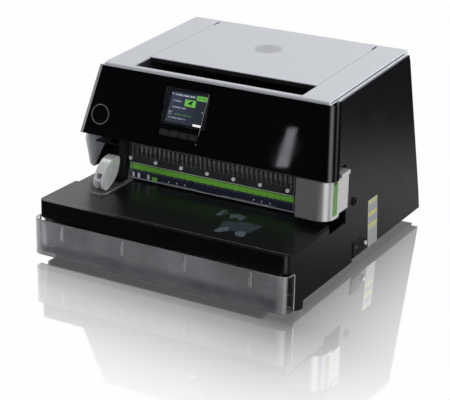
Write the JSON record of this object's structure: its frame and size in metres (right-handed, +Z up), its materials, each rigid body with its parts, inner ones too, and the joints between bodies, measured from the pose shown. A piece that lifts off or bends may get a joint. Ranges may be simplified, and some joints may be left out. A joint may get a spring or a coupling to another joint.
{
  "type": "modular paper punch",
  "caption": "Electric desktop punch for binding: wedge-shaped case with a display, lidded top compartment, pull-out chip tray and a die set that slides out to the right by a silver handle.",
  "frame": {"origin": "floor level under the middle of the overall footprint", "axes": "+X to the operator's right, +Y to the back, +Z up; the paper table faces -Y"},
  "size_m": [0.4592, 0.508, 0.3057],
  "materials": {
    "shell_black": "gloss",
    "top_grey": "satin",
    "fascia_black": "high gloss",
    "table_black": "satin gloss",
    "matt_black": "matt",
    "pan_black": "powder coat",
    "frosted": "frosted translucent",
    "clear": "clear",
    "lcd": "lit display",
    "board": "solder mask",
    "button": "satin",
    "led": "lens",
    "rubber": "matt",
    "bright_steel": "ground",
    "frame_steel": "zinc plated",
    "chrome": "polished",
    "handle_silver": "silver satin",
    "strip_green": "printed",
    "strip_navy": "printed",
    "bronze": "sintered bronze",
    "motor_grey": "paint",
    "psu_tin": "tinplate",
    "liner_grey": "gloss",
    "reset_white": "gloss"
  },
  "bodies": {
    "housing": {"base_pan": "pan_black", "rubber_feet": "rubber", "side_panel_left": "shell_black", "side_panel_right": "shell_black", "skirt_left": "shell_black", "skirt_right": "shell_black", "rear_panel": "pan_black", "rear_screws": "bright_steel", "top_shell": "top_grey", "lid_hinge_pins": "bright_steel", "storage_well": "matt_black", "front_fascia": "fascia_black", "display_window": "clear", "lcd_panel": "lcd", "display_board": "board", "status_led": "led", "paper_table": "table_black", "throat_sill": "table_black", "throat_liner": "liner_grey", "die_bed": "frame_steel", "frame_plate_left": "frame_steel", "frame_plate_right": "frame_steel", "top_crossbar": "frame_steel", "guide_posts": "bright_steel", "shaft_bearings": "bronze", "idler_stud": "bright_steel", "drive_motor": "motor_grey", "power_supply": "psu_tin", "control_board": "board", "switch_housing": "matt_black", "breaker_body": "matt_black", "pedal_jack": "matt_black", "mains_inlet": "matt_black"},
    "lid": {"lid": "top_grey"},
    "tray": {"chip_tray": "frosted"},
    "guide": {"edge_guide_plate": "clear", "guide_clamp_block": "bright_steel", "guide_lever_pin": "bright_steel"},
    "lever": {"guide_lever": "chrome"},
    "die": {"die_plate": "bright_steel", "pin_guide_bar": "bright_steel", "scale_strip": "strip_green", "die_label_strip": "strip_navy", "die_cover": "clear", "die_screws": "chrome", "die_handle": "handle_silver"},
    "pins": {"punch_pins": "bright_steel", "pin_bar": "bright_steel"},
    "ram": {"ram_bar": "bright_steel", "ram_yokes": "frame_steel"},
    "shaft": {"drive_shaft": "bright_steel", "shaft_gear": "bright_steel"},
    "idler": {"idler_gear": "bright_steel"},
    "pinion": {"motor_pinion": "bright_steel"},
    "button_1": {"menu_button_1": "button"},
    "button_2": {"menu_button_2": "button"},
    "button_3": {"menu_button_3": "button"},
    "button_4": {"menu_button_4": "button"},
    "rocker": {"power_rocker": "matt_black"},
    "reset": {"breaker_reset": "reset_white"}
  },
  "joints": [
    {"name": "lid_hinge", "type": "hinge", "parent": "housing", "child": "lid", "pos_m": [0, 0.2, 0.29792], "axis": [-1, 0, 0], "range_deg": [0, 80]},
    {"name": "die_slide", "type": "slide", "parent": "housing", "child": "die", "axis": [1, 0, 0], "range_m": [0, 0.38]},
    {"name": "tray_slide", "type": "slide", "parent": "housing", "child": "tray", "axis": [0, -1, 0], "range_m": [0, 0.19]},
    {"name": "guide_slide", "type": "slide", "parent": "housing", "child": "guide", "axis": [1, 0, 0], "range_m": [0, 0.1]},
    {"name": "guide_lever_hinge", "type": "hinge", "parent": "guide", "child": "lever", "pos_m": [-0.159, -0.1564, 0.1174], "axis": [1, 0, 0], "range_deg": [0, 60]},
    {"name": "menu_button_1_press", "type": "slide", "parent": "housing", "child": "button_1", "axis": [0, 0.9535, -0.3014], "range_m": [0, 0.0012], "stiffness_N_per_m": 600},
    {"name": "menu_button_2_press", "type": "slide", "parent": "housing", "child": "button_2", "axis": [0, 0.9535, -0.3014], "range_m": [0, 0.0012], "stiffness_N_per_m": 600},
    {"name": "menu_button_3_press", "type": "slide", "parent": "housing", "child": "button_3", "axis": [0, 0.9535, -0.3014], "range_m": [0, 0.0012], "stiffness_N_per_m": 600},
    {"name": "menu_button_4_press", "type": "slide", "parent": "housing", "child": "button_4", "axis": [0, 0.9535, -0.3014], "range_m": [0, 0.0012], "stiffness_N_per_m": 600},
    {"name": "power_rocker_tilt", "type": "hinge", "parent": "housing", "child": "rocker", "pos_m": [0.21638, -0.001, 0.03176], "axis": [-0.045, 0, 0.999], "range_deg": [0, 16]},
    {"name": "breaker_reset_pop", "type": "slide", "parent": "housing", "child": "reset", "axis": [0.999, 0, 0.045], "range_m": [0, 0.004]},
    {"name": "shaft_turn", "type": "hinge", "parent": "housing", "child": "shaft", "pos_m": [0, -0.068, 0.226], "axis": [1, 0, 0], "range_deg": [0, 180]},
    {"name": "ram_stroke", "type": "slide", "parent": "housing", "child": "ram", "axis": [0, 0, -1], "range_m": [0, 0.01]},
    {"name": "pin_stroke", "type": "slide", "parent": "die", "child": "pins", "axis": [0, 0, -1], "range_m": [0, 0.01]},
    {"name": "idler_turn", "type": "hinge", "parent": "housing", "child": "idler", "pos_m": [0, -0.03406, 0.19206], "axis": [1, 0, 0], "range_deg": [-180, 0]},
    {"name": "pinion_turn", "type": "hinge", "parent": "housing", "child": "pinion", "pos_m": [0, -0.00231, 0.17509], "axis": [1, 0, 0], "range_deg": [0, 360]}
  ],
  "couplings": [
    {"joint": "shaft_turn", "follows": "ram_stroke", "rad_per_m": 314.16},
    {"joint": "pin_stroke", "follows": "ram_stroke", "ratio": 1},
    {"joint": "idler_turn", "follows": "ram_stroke", "rad_per_m": -314.16},
    {"joint": "pinion_turn", "follows": "ram_stroke", "rad_per_m": 628.32}
  ]
}
